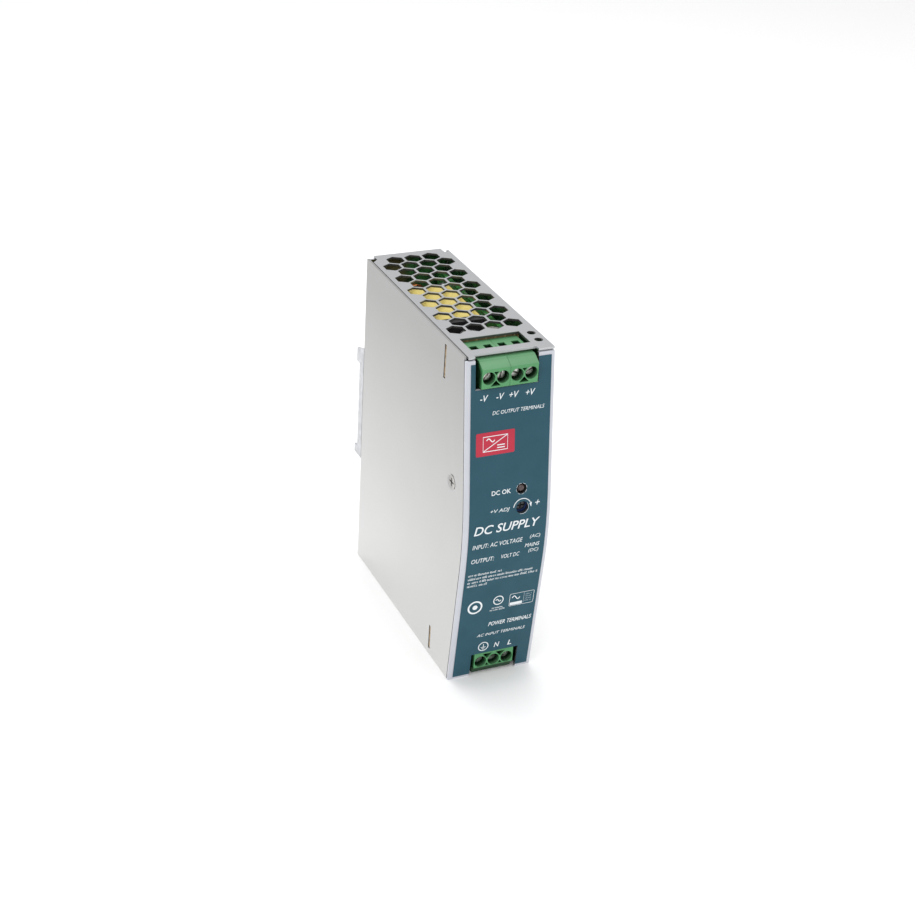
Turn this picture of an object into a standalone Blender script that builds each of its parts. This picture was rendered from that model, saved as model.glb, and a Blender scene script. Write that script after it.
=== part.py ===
"""DIN rail power supply, 32 mm wide, as an assembly of its separate pieces.

Frame: +Z up, front towards -Y, +X to the right of a viewer in front of it.
The origin is under the middle of the object's box, on the surface it stands on.
"""
from math import cos, pi, radians, sin, tan

import bmesh
import bpy
from mathutils import Matrix, Vector

MM = 0.001

# ---------------------------------------------------------------- driving dimensions, in millimetres
WIDTH = 32.0
HEIGHT = 125.2
DEPTH = 102.0
SHEET = 0.8            # case sheet metal
GAP = 0.3              # clearance between neighbouring pieces
HALF_W = WIDTH / 2
WALL_IN = HALF_W - SHEET
FRONT_Y = -DEPTH / 2   # outer face of the label at the nose of the front
REAR_Y = DEPTH / 2     # rear of the DIN bracket
SIDE_REAR_Y = 44.0     # rear edge of both side walls
REAR_WALL_Y = 46.0     # outer face of the rear wall

# front: two leaning faces joined by one large radius
NOSE_Z = 59.0
NOSE_R = 130.0
LEAN_LOW = radians(5.9)
LEAN_HIGH = radians(6.8)
PANEL_T = 1.0
LABEL_T = 0.15
LABEL_GAP = 0.05
PANEL_TOP = 123.9
FLANGE_X = (14.0, 14.9)
LABEL_X = (-14.2, 14.8)
LABEL_Z = (1.0, 122.7)
TOP_NOTCH_X = (-12.6, 10.2)
TOP_NOTCH_Z = 113.8
LOW_NOTCH_X = (-7.85, 10.3)
LOW_NOTCH_Z = 9.6
LAMP_HOLE = (4.9, 76.8, 3.8)     # x, z, diameter
TRIM_HOLE = (5.35, 69.8, 4.5)

# top plate
TOP_X0 = -HALF_W + SHEET + GAP
TOP_FRONT_Y = -43.7
BAR_FRONT_Y = -41.8
WINDOW_X = (-11.9, 9.7)
WINDOW_Y = (-38.4, -29.4)
TONGUE_X = (-12.7, 13.7)
CORNER_Y = 40.3
HEX_FLAT = 6.05
HEX_ROWS = 12
HEX_ROW_STEP = -5.66
HEX_COL_STEP = 6.95
HEX_FIRST_Y = 40.0
HEX_MID_X = 0.4
TOP_HOLES = ((13.2, -31.7), (13.2, -37.3))

# fasteners and slits of the case
SIDE_SCREW = (-38.6, 77.0)                                            # y, z
RIVETS = ((-10.4, 14.0), (10.4, 14.0), (-10.4, 72.0), (10.4, 72.0))   # x, z
SLIT_Y = (-28.7, -27.3)

# terminals
PITCH = 5.08
OUT_X = -1.0
OUT_SCREW_Z = 118.3
OUT_FRONT_Y = -46.7
OUT_Z = (114.7, 123.5)
OUT_SLANT = (3.4, 1.9)     # depth and height of the slanted face over the wells
IN_X = 1.25
IN_SCREW_Z = 5.5
IN_FRONT_Y = -46.0
IN_Z = (0.4, 9.3)
IN_STEP = (1.6, 2.3)       # depth and height of the step under the front face
BLOCK_REAR_Y = -28.8
SCREW_HEAD_D = 3.9
SCREW_DEPTH = 2.3         # of each head behind the front of its block
SLOT_TURNS = (50, 78, -25, 20, 35, 12, 62)   # degrees, as the screws were left
WELL_D = 4.5
OUT_BOARD_Y = (-28.5, -27.5)
IN_BOARD_Y = (-28.5, -27.5)
CLAMP_Y = (-39.2, -31.7)
MOUTH_Y = (-35.2, -32.5)
SCREW_TRAVEL = 1.5

# transformer, front to rear
TRANSFORMER_Y = (-10.9, 25.1)
WINDING_X = (-13.6, 6.4)
WINDING_Z = (91.4, 122.0)
WINDING_MID_X = (WINDING_X[0] + WINDING_X[1]) / 2

OUTPUT_CAPACITOR_X = (5.7, -3.1)

# board stack on the right wall
SHEET_X = (14.7, 14.9)
BOARD_X = (10.9, 12.5)
STANDOFFS = ((-20.0, 26.0), (34.0, 12.0), (34.0, 114.0))

# DIN bracket, latch and spring
RAIL_TOP_Z = 81.6
RAIL_LOW_Z = 46.4
SEAT_Y = 48.3
WEB_Y = (46.3, 47.1)
GUIDE_X = (7.2, 8.0)
LATCH_Y = (47.4, 48.2)
SPRING_Y = 49.1
SPRING_Z = (13.9, 29.6)


# ---------------------------------------------------------------- helpers
def material(name, colour, roughness, metallic=0.0):
    found = bpy.data.materials.get(name)
    if found:
        return found
    made = bpy.data.materials.new(name)
    made.use_nodes = True
    shader = made.node_tree.nodes["Principled BSDF"]
    shader.inputs["Base Color"].default_value = (*colour, 1.0)
    shader.inputs["Roughness"].default_value = roughness
    shader.inputs["Metallic"].default_value = metallic
    return made


def add(name, mesh_builder, look=None, origin=(0.0, 0.0, 0.0)):
    """A named object from a bmesh in millimetres; its origin is the given point."""
    mesh_builder.normal_update()
    shift = Matrix.Translation(-Vector(origin))
    bmesh.ops.transform(mesh_builder, matrix=Matrix.Scale(MM, 4) @ shift, verts=mesh_builder.verts)
    bmesh.ops.recalc_face_normals(mesh_builder, faces=mesh_builder.faces)
    mesh = bpy.data.meshes.new(name)
    mesh_builder.to_mesh(mesh)
    mesh_builder.free()
    made = bpy.data.objects.new(name, mesh)
    made.location = Vector(origin) * MM
    bpy.context.collection.objects.link(made)
    if look:
        mesh.materials.append(look)
    return made


def slab(bm, x, y, z):
    """A box between two limits on each axis, added to bm."""
    size = Vector((x[1] - x[0], y[1] - y[0], z[1] - z[0]))
    middle = Vector(((x[0] + x[1]) / 2, (y[0] + y[1]) / 2, (z[0] + z[1]) / 2))
    place = Matrix.Translation(middle) @ Matrix.Diagonal((*size, 1.0))
    bmesh.ops.create_cube(bm, size=1.0, matrix=place)


def prism(bm, outline, axis, low, high):
    """An outline of 2-D points pushed along one axis from low to high."""
    def point(p, q, along):
        return {"X": (along, p, q), "Y": (p, along, q), "Z": (p, q, along)}[axis]
    base = [bm.verts.new(point(p, q, low)) for p, q in outline]
    face = bm.faces.new(base)
    grown = bmesh.ops.extrude_face_region(bm, geom=[face])
    moved = [item for item in grown["geom"] if isinstance(item, bmesh.types.BMVert)]
    bmesh.ops.translate(bm, vec=Vector(point(0, 0, high - low)), verts=moved)
    body = {v for v in base} | set(moved)
    faces = [f for f in bm.faces if all(v in body for v in f.verts)]
    bmesh.ops.recalc_face_normals(bm, faces=faces)


def disc(p, q, radius, sides, turn=0.0):
    return [(p + radius * cos(turn + 2 * pi * i / sides), q + radius * sin(turn + 2 * pi * i / sides))
            for i in range(sides)]


def rod(bm, axis, p, q, radius, low, high, sides=16, turn=0.0):
    prism(bm, disc(p, q, radius, sides, turn), axis, low, high)


def turned(bm, axis, p, q, steps, sides=20):
    """A closed turned body along one axis; steps are (radius, height) pairs from end to end."""
    def point(a, b, along):
        return {"X": (along, a, b), "Y": (a, along, b), "Z": (a, b, along)}[axis]
    rings = [[bm.verts.new(point(a, b, along)) for a, b in disc(p, q, radius, sides)]
             for radius, along in steps]
    for lower, upper in zip(rings, rings[1:]):
        for i in range(sides):
            j = (i + 1) % sides
            bm.faces.new((lower[i], lower[j], upper[j], upper[i]))
    bm.faces.new(rings[0])
    bm.faces.new(rings[-1])
    bmesh.ops.recalc_face_normals(bm, faces=bm.faces)


def shade(target, angle=40.0):
    target.data.shade_smooth()
    target.data.set_sharp_from_angle(angle=radians(angle))


def boolean(target, tool, operation):
    step = target.modifiers.new(operation.lower(), "BOOLEAN")
    step.operation = operation
    step.solver = "EXACT"
    step.use_self = True
    step.object = tool
    tool.hide_render = True
    tool.display_type = "WIRE"
    return step


def cut(target, bm, name):
    boolean(target, add(name, bm), "DIFFERENCE")


def join(target, bm, name):
    boolean(target, add(name, bm), "UNION")


# ---------------------------------------------------------------- front profile
def front_profile(inset, z_low, z_high):
    """(y, z) points of the front, inset behind the label's outer face, from low to high."""
    centre_y = FRONT_Y + NOSE_R
    radius = NOSE_R - inset

    def tangent(angle):
        return centre_y - radius * cos(angle), NOSE_Z + radius * sin(angle)

    y_a, z_a = tangent(-LEAN_LOW)
    y_b, z_b = tangent(LEAN_HIGH)
    points = [(y_a + (z_a - z_low) * tan(LEAN_LOW), z_low)]
    steps = 10
    for i in range(steps + 1):
        angle = -LEAN_LOW + (LEAN_LOW + LEAN_HIGH) * i / steps
        points.append(tangent(angle))
    points.append((y_b + (z_high - z_b) * tan(LEAN_HIGH), z_high))
    return points


def bent_sheet(outer_inset, thickness, z_low, z_high, x):
    bm = bmesh.new()
    outer = front_profile(outer_inset, z_low, z_high)
    inner = front_profile(outer_inset + thickness, z_low, z_high)
    outline = outer + inner[::-1]
    prism(bm, outline, "X", x[0], x[1])
    return bm


def front_holes():
    """Cutter for the lamp and trimmer holes of panel and label."""
    bm = bmesh.new()
    for x, z, diameter in (LAMP_HOLE, TRIM_HOLE):
        rod(bm, "Y", x, z, diameter / 2, FRONT_Y - 5, FRONT_Y + 10, 24)
    return bm


def front_notches():
    bm = bmesh.new()
    y = (FRONT_Y - 5, FRONT_Y + 20)
    slab(bm, (TOP_NOTCH_X[0], TOP_NOTCH_X[1]), y, (TOP_NOTCH_Z, HEIGHT + 5))
    slab(bm, (LOW_NOTCH_X[0], LOW_NOTCH_X[1]), y, (-5, LOW_NOTCH_Z))
    return bm


def make_front():
    look = material("panel_grey", (0.68, 0.67, 0.72), 0.4)
    inset = LABEL_T + LABEL_GAP
    panel = add("front_panel", bent_sheet(inset, PANEL_T, 0.0, PANEL_TOP, (-HALF_W, HALF_W)), look)
    cut(panel, front_notches(), "panel_notch_tool")
    for number, side in enumerate((-1, 1), 1):
        flange = bmesh.new()
        outline = [(-33.5, 68.0), (-50.0, 68.0), (-48.2, 86.0), (-33.5, 86.0)]
        prism(flange, outline, "X", *sorted((side * FLANGE_X[0], side * FLANGE_X[1])))
        join(panel, flange, "panel_flange_tool_%d" % number)
    bores = bmesh.new()
    rod(bores, "X", *SIDE_SCREW, 1.7, -HALF_W, HALF_W, 14)
    cut(panel, bores, "panel_bore_tool")
    cut(panel, front_holes(), "panel_hole_tool")
    print_look = material("label_teal", (0.05, 0.12, 0.15), 0.45)
    label = add("front_label", bent_sheet(0.0, LABEL_T, *LABEL_Z, LABEL_X), print_look)
    cut(label, front_notches(), "label_notch_tool")
    cut(label, front_holes(), "label_hole_tool")


# ---------------------------------------------------------------- case
def side_outline(z_top):
    """Side sheet in the (y, z) plane, its front edge just behind the panel."""
    inset = LABEL_T + LABEL_GAP + PANEL_T + GAP
    front = front_profile(inset, 0.0, z_top)
    return [(SIDE_REAR_Y, 0.0)] + front + [(SIDE_REAR_Y, z_top)]


def hex_rows():
    """Centres of the honeycomb openings, three and four to a row in turn."""
    for row in range(HEX_ROWS):
        count = 3 if row % 2 == 0 else 4
        for i in range(count):
            yield HEX_MID_X + (i - (count - 1) / 2) * HEX_COL_STEP, HEX_FIRST_Y + row * HEX_ROW_STEP


def hex_cutter(z_low, z_high, keep):
    bm = bmesh.new()
    half = HEX_FLAT / 2
    tip = 3.45
    shoulder = 1.75
    for x, y in hex_rows():
        if not keep(x, y):
            continue
        outline = [(x, y + tip), (x - half, y + shoulder), (x - half, y - shoulder),
                   (x, y - tip), (x + half, y - shoulder), (x + half, y + shoulder)]
        prism(bm, outline, "Z", z_low, z_high)
    return bm


def make_chassis():
    look = material("sheet_grey", (0.62, 0.63, 0.65), 0.35, 0.8)
    bm = bmesh.new()
    prism(bm, side_outline(HEIGHT), "X", WALL_IN, HALF_W)
    body = add("chassis", bm, look)

    top = bmesh.new()
    ear_l, ear_r = TOP_NOTCH_X
    outline = [(TOP_X0, TOP_FRONT_Y), (ear_l, TOP_FRONT_Y), (ear_l, BAR_FRONT_Y), (ear_r, BAR_FRONT_Y),
               (ear_r, TOP_FRONT_Y), (HALF_W, TOP_FRONT_Y), (HALF_W, CORNER_Y + 2.2),
               (TONGUE_X[1], CORNER_Y + 2.2), (TONGUE_X[1], REAR_WALL_Y), (TONGUE_X[0], REAR_WALL_Y),
               (TONGUE_X[0], CORNER_Y + 2.2), (TOP_X0, CORNER_Y)]
    prism(top, outline, "Z", HEIGHT - SHEET, HEIGHT)
    join(body, top, "top_plate_tool")

    bottom = bmesh.new()
    outline = [(TOP_X0, -43.9), (HALF_W - 0.1, -43.9), (HALF_W - 0.1, CORNER_Y + 2.2),
               (TONGUE_X[1], CORNER_Y + 2.2), (TONGUE_X[1], REAR_WALL_Y), (TONGUE_X[0], REAR_WALL_Y),
               (TONGUE_X[0], CORNER_Y + 2.2), (TOP_X0, CORNER_Y)]
    prism(bottom, outline, "Z", 0.0, SHEET)
    join(body, bottom, "bottom_plate_tool")

    rear = bmesh.new()
    slab(rear, TONGUE_X, (REAR_WALL_Y - SHEET, REAR_WALL_Y), (0.1, HEIGHT - 0.1))
    join(body, rear, "rear_wall_tool")
    wings = (((TOP_X0, -10.0), (REAR_WALL_Y - SHEET + 0.01, REAR_WALL_Y - 0.01), (3.0, 124.2)),
             ((TOP_X0, TOP_X0 + SHEET), (39.0, REAR_WALL_Y - 0.02), (3.1, 124.1)),
             ((10.0, -TOP_X0), (REAR_WALL_Y - SHEET + 0.01, REAR_WALL_Y - 0.01), (3.0, 124.2)),
             ((-TOP_X0 - SHEET, -TOP_X0), (42.2, REAR_WALL_Y - 0.02), (3.1, 124.1)))
    for number, limits in enumerate(wings, 1):
        wing = bmesh.new()
        slab(wing, *limits)
        join(body, wing, "rear_wing_tool_%d" % number)

    cuts = hex_cutter(HEIGHT - 3, HEIGHT + 3, lambda x, y: True)
    slab(cuts, WINDOW_X, WINDOW_Y, (HEIGHT - 3, HEIGHT + 3))
    for x, y in TOP_HOLES:
        rod(cuts, "Z", x, y, 1.5, HEIGHT - 3, HEIGHT + 3, 16)
    cut(body, cuts, "top_vent_tool")

    cuts = hex_cutter(-3, 3, lambda x, y: y > -22.0)
    slab(cuts, (LOW_NOTCH_X[0] - 0.4, LOW_NOTCH_X[1] + 0.4), (-55, BLOCK_REAR_Y + GAP), (-3, 3))
    cut(body, cuts, "bottom_vent_tool")

    cuts = bmesh.new()
    turned(cuts, "X", *SIDE_SCREW, [(1.8, WALL_IN - 1), (1.8, WALL_IN + 0.05), (3.4, HALF_W + 0.1)], 20)
    for x, z in RIVETS:
        rod(cuts, "Y", x, z, 1.8, REAR_WALL_Y - 3, REAR_WALL_Y + 3, 12)
    cut(body, cuts, "chassis_hole_tool")


def make_side_cover():
    look = material("cover_grey", (0.66, 0.66, 0.67), 0.25, 0.9)
    bm = bmesh.new()
    prism(bm, side_outline(HEIGHT), "X", -HALF_W, -WALL_IN)
    cover = add("side_cover", bm, look)
    cuts = bmesh.new()
    slab(cuts, (-HALF_W - 1, -WALL_IN + 1), SLIT_Y, (110.9, 123.1))
    slab(cuts, (-HALF_W - 1, -WALL_IN + 1), SLIT_Y, (2.4, 12.0))
    turned(cuts, "X", *SIDE_SCREW, [(3.4, -HALF_W - 0.1), (1.8, -WALL_IN - 0.05), (1.8, -WALL_IN + 1)], 20)
    cut(cover, cuts, "cover_hole_tool")


def make_side_screws():
    """Countersunk, cross-recessed cover screws, one in each side."""
    look = material("screw_steel", (0.6, 0.6, 0.6), 0.3, 1.0)
    y, z = SIDE_SCREW
    for name, side in (("cover_screw_left", -1), ("cover_screw_right", 1)):
        bm = bmesh.new()
        steps = [(1.35, 12.9), (1.35, 15.1), (2.55, 15.85), (2.3, 15.95)]
        turned(bm, "X", y, z, [(r, side * d) for r, d in steps], 16)
        screw = add(name, bm, look, (side * HALF_W, y, z))
        slot = bmesh.new()
        ends = sorted((side * 15.3, side * 16.5))
        slab(slot, ends, (y - 1.6, y + 1.6), (z - 0.28, z + 0.28))
        cut(screw, slot, name + "_slot_tool")
        slot = bmesh.new()
        slab(slot, ends, (y - 0.28, y + 0.28), (z - 1.6, z + 1.6))
        cut(screw, slot, name + "_cross_tool")
        shade(screw)


# ---------------------------------------------------------------- terminals
def terminal_block(name, centre, count, out):
    """Housing with a screw well, a clamp shaft and a wire mouth for each pole."""
    look = material("terminal_green", (0.12, 0.42, 0.17), 0.45)
    half = count * PITCH / 2 - 0.05
    z_low, z_high = OUT_Z if out else IN_Z
    y_front = OUT_FRONT_Y if out else IN_FRONT_Y
    screw_z = OUT_SCREW_Z if out else IN_SCREW_Z
    bm = bmesh.new()
    back, rise = OUT_SLANT if out else IN_STEP
    if out:
        outline = [(y_front, z_low), (y_front, z_high - rise), (y_front + back, z_high),
                   (BLOCK_REAR_Y, z_high), (BLOCK_REAR_Y, z_low - 3.0), (y_front + 4.0, z_low - 3.0),
                   (y_front + 2.0, z_low)]
    else:
        outline = [(y_front, z_low + rise), (y_front, z_high), (y_front + 2.0, z_high),
                   (y_front + 4.0, z_high + 3.0), (BLOCK_REAR_Y, z_high + 3.0), (BLOCK_REAR_Y, z_low),
                   (y_front + back, z_low), (y_front + back, z_low + rise)]
    prism(bm, outline, "X", centre - half, centre + half)
    block = add(name, bm, look)
    cuts = bmesh.new()
    for pole in range(count):
        x = centre + (pole - (count - 1) / 2) * PITCH
        rod(cuts, "Y", x, screw_z, WELL_D / 2, y_front - 5, CLAMP_Y[0] - 0.2, 20)
        chamber = (screw_z - 5.3, screw_z + 2.7) if out else (screw_z - 2.7, screw_z + 5.3)
        slab(cuts, (x - 2.2, x + 2.2), (CLAMP_Y[0] - 0.4, CLAMP_Y[1] + SCREW_TRAVEL + 0.5), chamber)
        mouth = (screw_z + 2.0, z_high + 1) if out else (z_low - 1, screw_z - 2.0)
        slab(cuts, (x - 1.35, x + 1.35), MOUTH_Y, mouth)
    cut(block, cuts, name + "_bore_tool")
    dents = bmesh.new()
    for pole in range(count - 1):
        x = centre + (pole - (count - 2) / 2) * PITCH
        large_side = -1 if out else 1
        for side, height, half_base in ((large_side, 3.0, 1.8), (-large_side, 2.1, 0.9)):
            tip, base = screw_z + side * 0.95, screw_z + side * height
            dent = [(x, tip), (x + half_base, base), (x - half_base, base)]
            prism(dents, dent, "Y", y_front - 1, y_front + 3)
    cut(block, dents, name + "_dent_tool")


def terminal_screw(name, x, z, front_y, slot_turn):
    look = material("screw_zinc", (0.62, 0.6, 0.58), 0.35, 1.0)
    bm = bmesh.new()
    head = front_y + SCREW_DEPTH
    steps = [(1.55, head), (SCREW_HEAD_D / 2, head + 0.35), (SCREW_HEAD_D / 2, head + 2.4),
             (1.25, head + 2.5), (1.25, CLAMP_Y[0] + 4.1)]
    turned(bm, "Y", x, z, steps, 16)
    screw = add(name, bm, look, (x, head, z))
    slot = bmesh.new()
    slab(slot, (-2.5, 2.5), (head - 1, head + 0.9), (-0.35, 0.35))
    place = Matrix.Translation((x, 0, z)) @ Matrix.Rotation(-radians(slot_turn), 4, "Y")
    bmesh.ops.transform(slot, matrix=place, verts=slot.verts)
    cut(screw, slot, name + "_slot_tool")
    shade(screw)


def wire_clamp(name, x, z, out):
    """Rising clamp: a cage that the screw pulls towards the front."""
    look = material("clamp_brass", (0.55, 0.42, 0.2), 0.4, 1.0)
    sign = 1 if out else -1
    bm = bmesh.new()
    ends = sorted((z - sign * 4.9, z + sign * 2.3))
    slab(bm, (x - 1.9, x + 1.9), CLAMP_Y, ends)
    clamp = add(name, bm, look, (x, CLAMP_Y[0], z))
    hole = bmesh.new()
    slab(hole, (x - 1.4, x + 1.4), (CLAMP_Y[0] + 1.4, CLAMP_Y[1] - 1.0), (ends[0] - 1, ends[1] + 1))
    cut(clamp, hole, name + "_mouth_tool")
    bore = bmesh.new()
    rod(bore, "Y", x, z, 1.6, CLAMP_Y[0] - 1, CLAMP_Y[0] + 2.0, 12)
    cut(clamp, bore, name + "_bore_tool")


def make_terminals():
    terminal_block("output_block_negative", OUT_X - PITCH, 2, True)
    terminal_block("output_block_positive", OUT_X + PITCH, 2, True)
    terminal_block("input_block", IN_X, 3, False)
    poles = [(OUT_X + (i - 1.5) * PITCH, OUT_SCREW_Z, OUT_FRONT_Y, True) for i in range(4)]
    poles += [(IN_X + (i - 1) * PITCH, IN_SCREW_Z, IN_FRONT_Y, False) for i in range(3)]
    for number, (x, z, front, out) in enumerate(poles, 1):
        terminal_screw("terminal_screw_%d" % number, x, z, front, SLOT_TURNS[number - 1])
        wire_clamp("wire_clamp_%d" % number, x, z, out)


# ---------------------------------------------------------------- boards
def make_boards():
    green = material("board_green", (0.03, 0.16, 0.06), 0.5)
    brown = material("board_brown", (0.45, 0.3, 0.12), 0.6)
    film = material("film_clear", (0.75, 0.7, 0.5), 0.4)
    bm = bmesh.new()
    outline = [(41.0, 5.0), (41.0, 119.0), (-26.8, 119.0), (-26.8, 94.0), (-38.0, 94.0),
               (-38.0, 30.0), (-26.8, 30.0), (-26.8, 5.0)]
    prism(bm, outline, "X", *BOARD_X)
    board = add("main_board", bm, green)
    holes = bmesh.new()
    for y, z in STANDOFFS:
        rod(holes, "X", y, z, 1.8, BOARD_X[0] - 2, BOARD_X[1] + 2, 12)
    cut(board, holes, "board_hole_tool")

    bm = bmesh.new()
    slab(bm, SHEET_X, (-32.5, 41.5), (3.0, 121.0))
    sheet = add("insulation_sheet", bm, film)
    holes = bmesh.new()
    for y, z in STANDOFFS:
        rod(holes, "X", y, z, 3.0, SHEET_X[0] - 2, SHEET_X[1] + 2, 12)
    cut(sheet, holes, "sheet_hole_tool")

    bm = bmesh.new()
    outline = [(-HALF_W + 0.15, 111.3), (-13.0, 111.3), (-13.0, 98.0), (10.3, 98.0), (10.3, 124.1),
               (-14.6, 124.1), (-14.6, 122.7), (-HALF_W + 0.15, 122.7)]
    prism(bm, outline, "Y", *OUT_BOARD_Y)
    add("output_board", bm, brown)
    bm = bmesh.new()
    outline = [(-HALF_W + 0.15, 2.8), (10.3, 2.8), (10.3, 26.0), (-13.0, 26.0), (-13.0, 11.6),
               (-HALF_W + 0.15, 11.6)]
    prism(bm, outline, "Y", *IN_BOARD_Y)
    add("input_board", bm, brown)
    bm = bmesh.new()
    slab(bm, (-2.0, 10.5), (-44.5, -43.3), (60.0, 86.0))
    add("control_board", bm, green)

    steel = material("standoff_steel", (0.55, 0.55, 0.55), 0.35, 1.0)
    for number, (y, z) in enumerate(STANDOFFS, 1):
        bm = bmesh.new()
        rod(bm, "X", y, z, 2.7, BOARD_X[1] + GAP, WALL_IN - GAP, 6)
        post = add("board_standoff_%d" % number, bm, steel)
        bore = bmesh.new()
        rod(bore, "X", y, z, 1.8, BOARD_X[1] - 1, WALL_IN + 1, 12)
        cut(post, bore, "standoff_bore_tool_%d" % number)
        bm = bmesh.new()
        steps = [(2.2, BOARD_X[0] - 2.2), (2.8, BOARD_X[0] - 1.5), (2.8, BOARD_X[0] - GAP),
                 (1.4, BOARD_X[0] - GAP + 0.01), (1.4, WALL_IN - 0.6)]
        turned(bm, "X", y, z, steps, 14)
        screw = add("board_screw_%d" % number, bm, steel)
        slot = bmesh.new()
        slab(slot, (BOARD_X[0] - 3, BOARD_X[0] - 1.3), (y - 1.7, y + 1.7), (z - 0.3, z + 0.3))
        cut(screw, slot, "board_slot_tool_%d" % number)
        shade(screw)


# ---------------------------------------------------------------- components on the boards
def capacitor(name, axis, p, q, radius, low, high, look, vent):
    """Electrolytic can with rolled edge; vent is the end that carries the bare top."""
    lip = 0.5
    steps = [(radius - lip, low), (radius, low + lip), (radius, high - lip), (radius - lip, high)]
    bm = bmesh.new()
    turned(bm, axis, p, q, steps, 24)
    can = add(name, bm, look)
    cuts = bmesh.new()
    ends = (high - 0.35, high + 1) if vent > 0 else (low - 1, low + 0.35)
    rod(cuts, axis, p, q, radius - 1.2, *ends, 24)
    cut(can, cuts, name + "_top_tool")
    shade(can)


def boxed(name, look, *limits):
    bm = bmesh.new()
    slab(bm, *limits[0])
    made = add(name, bm, look)
    for number, more in enumerate(limits[1:], 1):
        bm = bmesh.new()
        slab(bm, *more)
        join(made, bm, "%s_joined_tool_%d" % (name, number))
    return made


def winding_ring(name, look, axis, p, q, along, ring_r, wire_r, lobes):
    """Toroid with its turns: a ring whose tube radius swells at each turn."""
    bm = bmesh.new()
    around, tube = lobes * 2, 8
    rows = []
    for i in range(around):
        angle = 2 * pi * i / around
        swell = wire_r * (1.0 if i % 2 else 0.88)
        row = []
        for j in range(tube):
            turn = 2 * pi * j / tube
            out = ring_r + swell * cos(turn)
            a, b, c = p + out * cos(angle), q + out * sin(angle), along + 1.25 * swell * sin(turn)
            row.append(bm.verts.new({"X": (c, a, b), "Y": (a, c, b), "Z": (a, b, c)}[axis]))
        rows.append(row)
    for i in range(around):
        for j in range(tube):
            k, m = (i + 1) % around, (j + 1) % tube
            bm.faces.new((rows[i][j], rows[k][j], rows[k][m], rows[i][m]))
    made = add(name, bm, look)
    shade(made, 60.0)


def make_components():
    ferrite = material("ferrite_grey", (0.05, 0.05, 0.05), 0.6)
    tape = material("tape_yellow", (0.85, 0.75, 0.2), 0.4)
    black = material("sleeve_black", (0.02, 0.02, 0.02), 0.35)
    alloy = material("heatsink_alloy", (0.6, 0.6, 0.6), 0.4, 1.0)
    moulded = material("package_black", (0.03, 0.03, 0.03), 0.5)
    copper = material("copper_wire", (0.6, 0.28, 0.12), 0.35, 0.9)
    yellow = material("capacitor_yellow", (0.7, 0.5, 0.05), 0.5)
    glass = material("fuse_body", (0.55, 0.5, 0.4), 0.3)
    dark_green = material("disc_green", (0.05, 0.2, 0.12), 0.5)

    front, rear = TRANSFORMER_Y
    mid = WINDING_MID_X
    boxed("transformer_core", ferrite, ((mid - 9.9, mid + 9.9), (front, front + 3.4), (86.0, 122.3)),
          ((mid - 6.0, mid + 6.0), (rear - 3.4, rear), (86.0, 116.0)),
          ((mid - 5.9, mid + 5.9), (front + 0.1, rear - 0.1), (86.1, 91.0)),
          ((mid - 3.6, mid + 3.6), (front + 0.2, rear - 0.2), (101.0, 112.0)))
    bm = bmesh.new()
    slab(bm, WINDING_X, (front + 3.7, rear - 3.7), WINDING_Z)
    winding = add("transformer_winding", bm, tape)
    hole = bmesh.new()
    slab(hole, (mid - 4.0, mid + 4.0), (front - 5, rear + 5), (100.6, 112.4))
    cut(winding, hole, "winding_bore_tool")

    capacitor("bulk_capacitor", "Y", -1.4, 45.5, 11.0, -5.0, 33.0, black, -1)
    for number, x in enumerate(OUTPUT_CAPACITOR_X, 1):
        capacitor("output_capacitor_%d" % number, "Z", x, -19.5, 4.1, 98.0, 121.5, black, 1)
    winding_ring("output_choke", copper, "X", 34.9, 108.0, 0.5, 5.9, 3.0, 14)
    winding_ring("line_choke", copper, "X", 2.0, 21.5, 4.4, 6.6, 3.0, 14)
    boxed("x_capacitor", yellow, ((-6.5, 10.3), (15.0, 31.0), (17.0, 27.5)))
    boxed("bridge_rectifier", moulded, ((-8.0, 9.5), (-33.0, -29.4), (38.0, 58.0)))
    boxed("primary_heatsink", alloy, ((-13.0, 10.4), (-2.0, 36.0), (66.0, 68.0)),
          ((-13.0, -11.0), (-2.0, 36.0), (67.0, 82.0)))
    boxed("switch_transistor", moulded, ((-6.5, 8.5), (10.0, 20.4), (68.3, 72.8)))
    boxed("output_heatsink", alloy, ((-13.0, 10.4), (-11.5, -9.5), (66.0, 85.5)),
          ((-13.0, -11.0), (-24.0, -10.0), (66.1, 85.4)))
    boxed("output_rectifier", moulded, ((-6.0, 8.5), (-16.6, -11.8), (72.0, 82.4)))
    bm = bmesh.new()
    steps = [(2.6, -24.5), (2.6, -19.5), (2.3, -19.4), (2.3, -9.6), (2.6, -9.5), (2.6, -4.5)]
    turned(bm, "Y", 4.6, 10.0, steps, 14)
    shade(add("fuse", bm, glass))
    bm = bmesh.new()
    turned(bm, "Y", 2.6, 8.6, [(5.0, 8.0), (6.0, 8.8), (6.0, 12.2), (5.0, 13.0)], 18)
    shade(add("thermistor", bm, dark_green))
    boxed("optocoupler", moulded, ((6.9, 10.6), (-24.5, -18.0), (58.5, 63.2)))


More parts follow.
